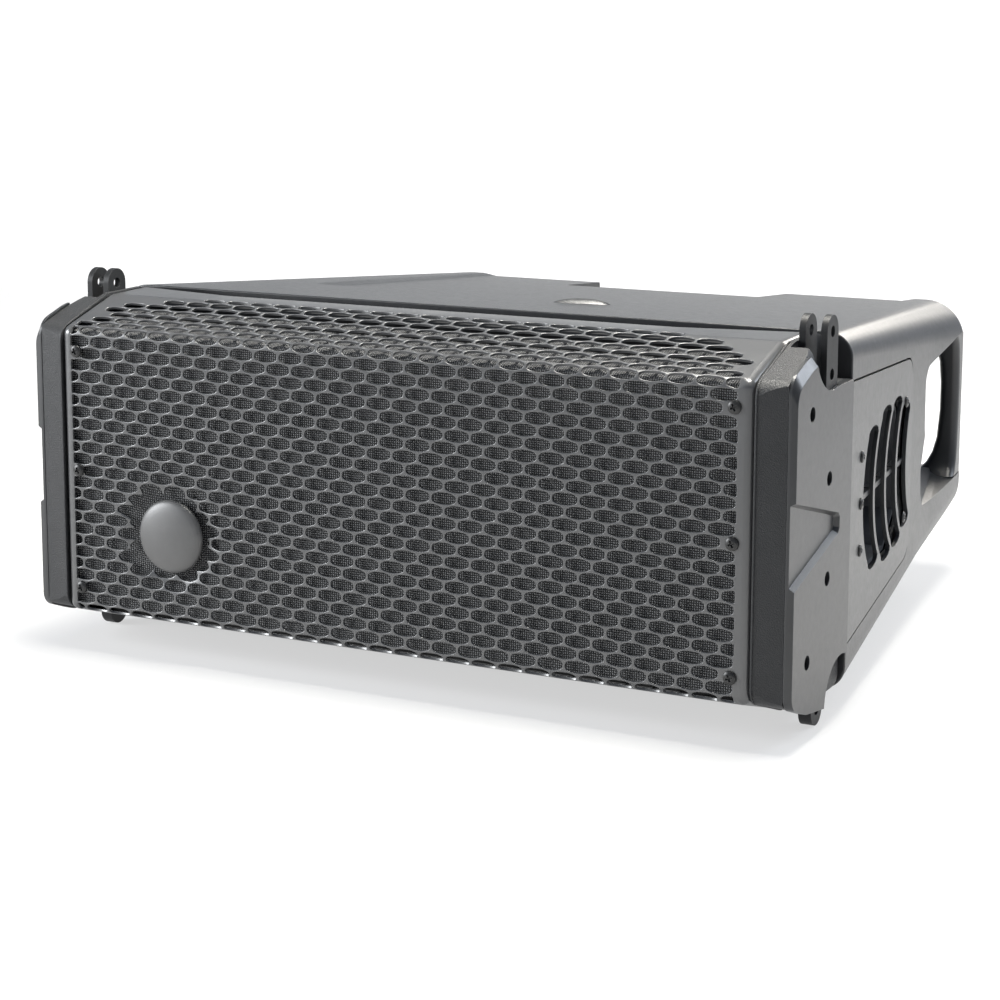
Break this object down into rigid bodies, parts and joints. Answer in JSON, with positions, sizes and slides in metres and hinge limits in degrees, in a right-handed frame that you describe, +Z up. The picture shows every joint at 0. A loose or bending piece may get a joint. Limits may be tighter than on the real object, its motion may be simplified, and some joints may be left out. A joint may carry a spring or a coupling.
{
  "type": "line array speaker",
  "caption": "Compact powered line array speaker: tapered cabinet with perforated front grille, link ears and tabs, side vents, corner handles and a rear splay link.",
  "frame": {"origin": "below the middle of the whole object's box, at the height of the lower link tabs' lowest point", "axes": "+Z up, -Y out of the grille (the front), +X to the right seen from the front"},
  "size_m": [0.504, 0.475, 0.2353],
  "materials": {
    "shell_plastic": "fine textured moulded, dark grey",
    "baffle_wood": "painted plywood",
    "cap_plastic": "leather-grain moulded, black",
    "side_metal": "satin powder coat",
    "zinc_steel": "zinc plated",
    "grille_steel": "dark grey powder coat",
    "grille_cloth": "woven acoustic cloth",
    "black_screw": "black oxide",
    "badge_ring": "satin black",
    "badge_metal": "dark anodised",
    "rigging_steel": "black powder coat",
    "basket_metal": "black painted casting",
    "magnet": "dark grey",
    "surround_rubber": "matte",
    "cone_paper": "treated paper",
    "horn_plastic": "black moulded",
    "vent_plastic": "fine textured moulded",
    "panel_metal": "black anodised plate",
    "heat_sink": "black anodised extrusion",
    "board_green": "solder mask",
    "connector_plastic": "black moulded",
    "latch_metal": "nickel",
    "power_blue": "blue moulded",
    "power_grey": "light grey moulded",
    "knob_plastic": "soft black",
    "button_plastic": "light grey",
    "light_lens": "clear green lens",
    "link_steel": "black powder coat",
    "pin_steel": "stainless",
    "wire_red": "cable sheath"
  },
  "bodies": {
    "cabinet": {"cabinet_shell": "shell_plastic", "handle_left": "shell_plastic", "handle_right": "shell_plastic", "front_frame": "shell_plastic", "front_baffle": "baffle_wood", "end_cap_left": "cap_plastic", "end_cap_right": "cap_plastic", "side_plate_left": "side_metal", "side_plate_right": "side_metal", "plate_nuts": "zinc_steel", "grille": "grille_steel", "grille_cloth": "grille_cloth", "grille_screws": "black_screw", "badge_ring": "badge_ring", "badge_disc": "badge_metal", "ear_inner_left": "rigging_steel", "ear_inner_right": "rigging_steel", "ear_outer_left": "rigging_steel", "ear_outer_right": "rigging_steel", "tab_left": "rigging_steel", "tab_right": "rigging_steel", "rigging_bolts": "zinc_steel", "woofer_basket_left": "basket_metal", "woofer_basket_right": "basket_metal", "woofer_magnet_left": "magnet", "woofer_magnet_right": "magnet", "woofer_surround_left": "surround_rubber", "woofer_surround_right": "surround_rubber", "woofer_screws": "black_screw", "horn_waveguide": "horn_plastic", "compression_driver": "magnet", "horn_screws": "black_screw", "vent_panel_left": "vent_plastic", "vent_panel_right": "vent_plastic", "vent_duct_left": "horn_plastic", "vent_duct_right": "horn_plastic", "vent_screws": "black_screw", "amp_panel": "panel_metal", "heat_sink": "heat_sink", "amp_board": "board_green", "power_supply": "zinc_steel", "signal_input": "connector_plastic", "signal_output": "connector_plastic", "power_input": "power_blue", "power_output": "power_grey", "status_light": "light_lens", "panel_screws": "black_screw", "rear_bracket": "rigging_steel", "bracket_bolts": "zinc_steel", "link_pivot_pin": "zinc_steel", "speaker_wires": "wire_red"},
    "woofer_cone_left": {"woofer_cone_left": "cone_paper"},
    "woofer_cone_right": {"woofer_cone_right": "cone_paper"},
    "rear_link": {"rear_link": "link_steel"},
    "splay_pin": {"splay_pin": "pin_steel"},
    "gain_knob": {"gain_knob": "knob_plastic"},
    "preset_button": {"preset_button": "button_plastic"},
    "input_latch": {"input_latch": "latch_metal"}
  },
  "joints": [
    {"name": "woofer_stroke_left", "type": "slide", "parent": "cabinet", "child": "woofer_cone_left", "axis": [0, -1, 0], "range_m": [-0.004, 0.004], "stiffness_N_per_m": 1500},
    {"name": "woofer_stroke_right", "type": "slide", "parent": "cabinet", "child": "woofer_cone_right", "axis": [0, -1, 0], "range_m": [-0.004, 0.004], "stiffness_N_per_m": 1500},
    {"name": "rear_link_swing", "type": "hinge", "parent": "cabinet", "child": "rear_link", "pos_m": [0, 0.204, 0.174], "axis": [1, 0, 0], "range_deg": [0, 180]},
    {"name": "splay_pin_pull", "type": "slide", "parent": "cabinet", "child": "splay_pin", "axis": [1, 0, 0], "range_m": [0, 0.035]},
    {"name": "gain_knob_turn", "type": "hinge", "parent": "cabinet", "child": "gain_knob", "pos_m": [0.04, 0.179, 0.168], "axis": [0, 1, 0], "range_deg": [-140, 140]},
    {"name": "preset_button_press", "type": "slide", "parent": "cabinet", "child": "preset_button", "axis": [0, -1, 0], "range_m": [0, 0.0015], "stiffness_N_per_m": 400},
    {"name": "input_latch_press", "type": "slide", "parent": "cabinet", "child": "input_latch", "axis": [0, -1, 0], "range_m": [0, 0.0015], "stiffness_N_per_m": 400}
  ]
}
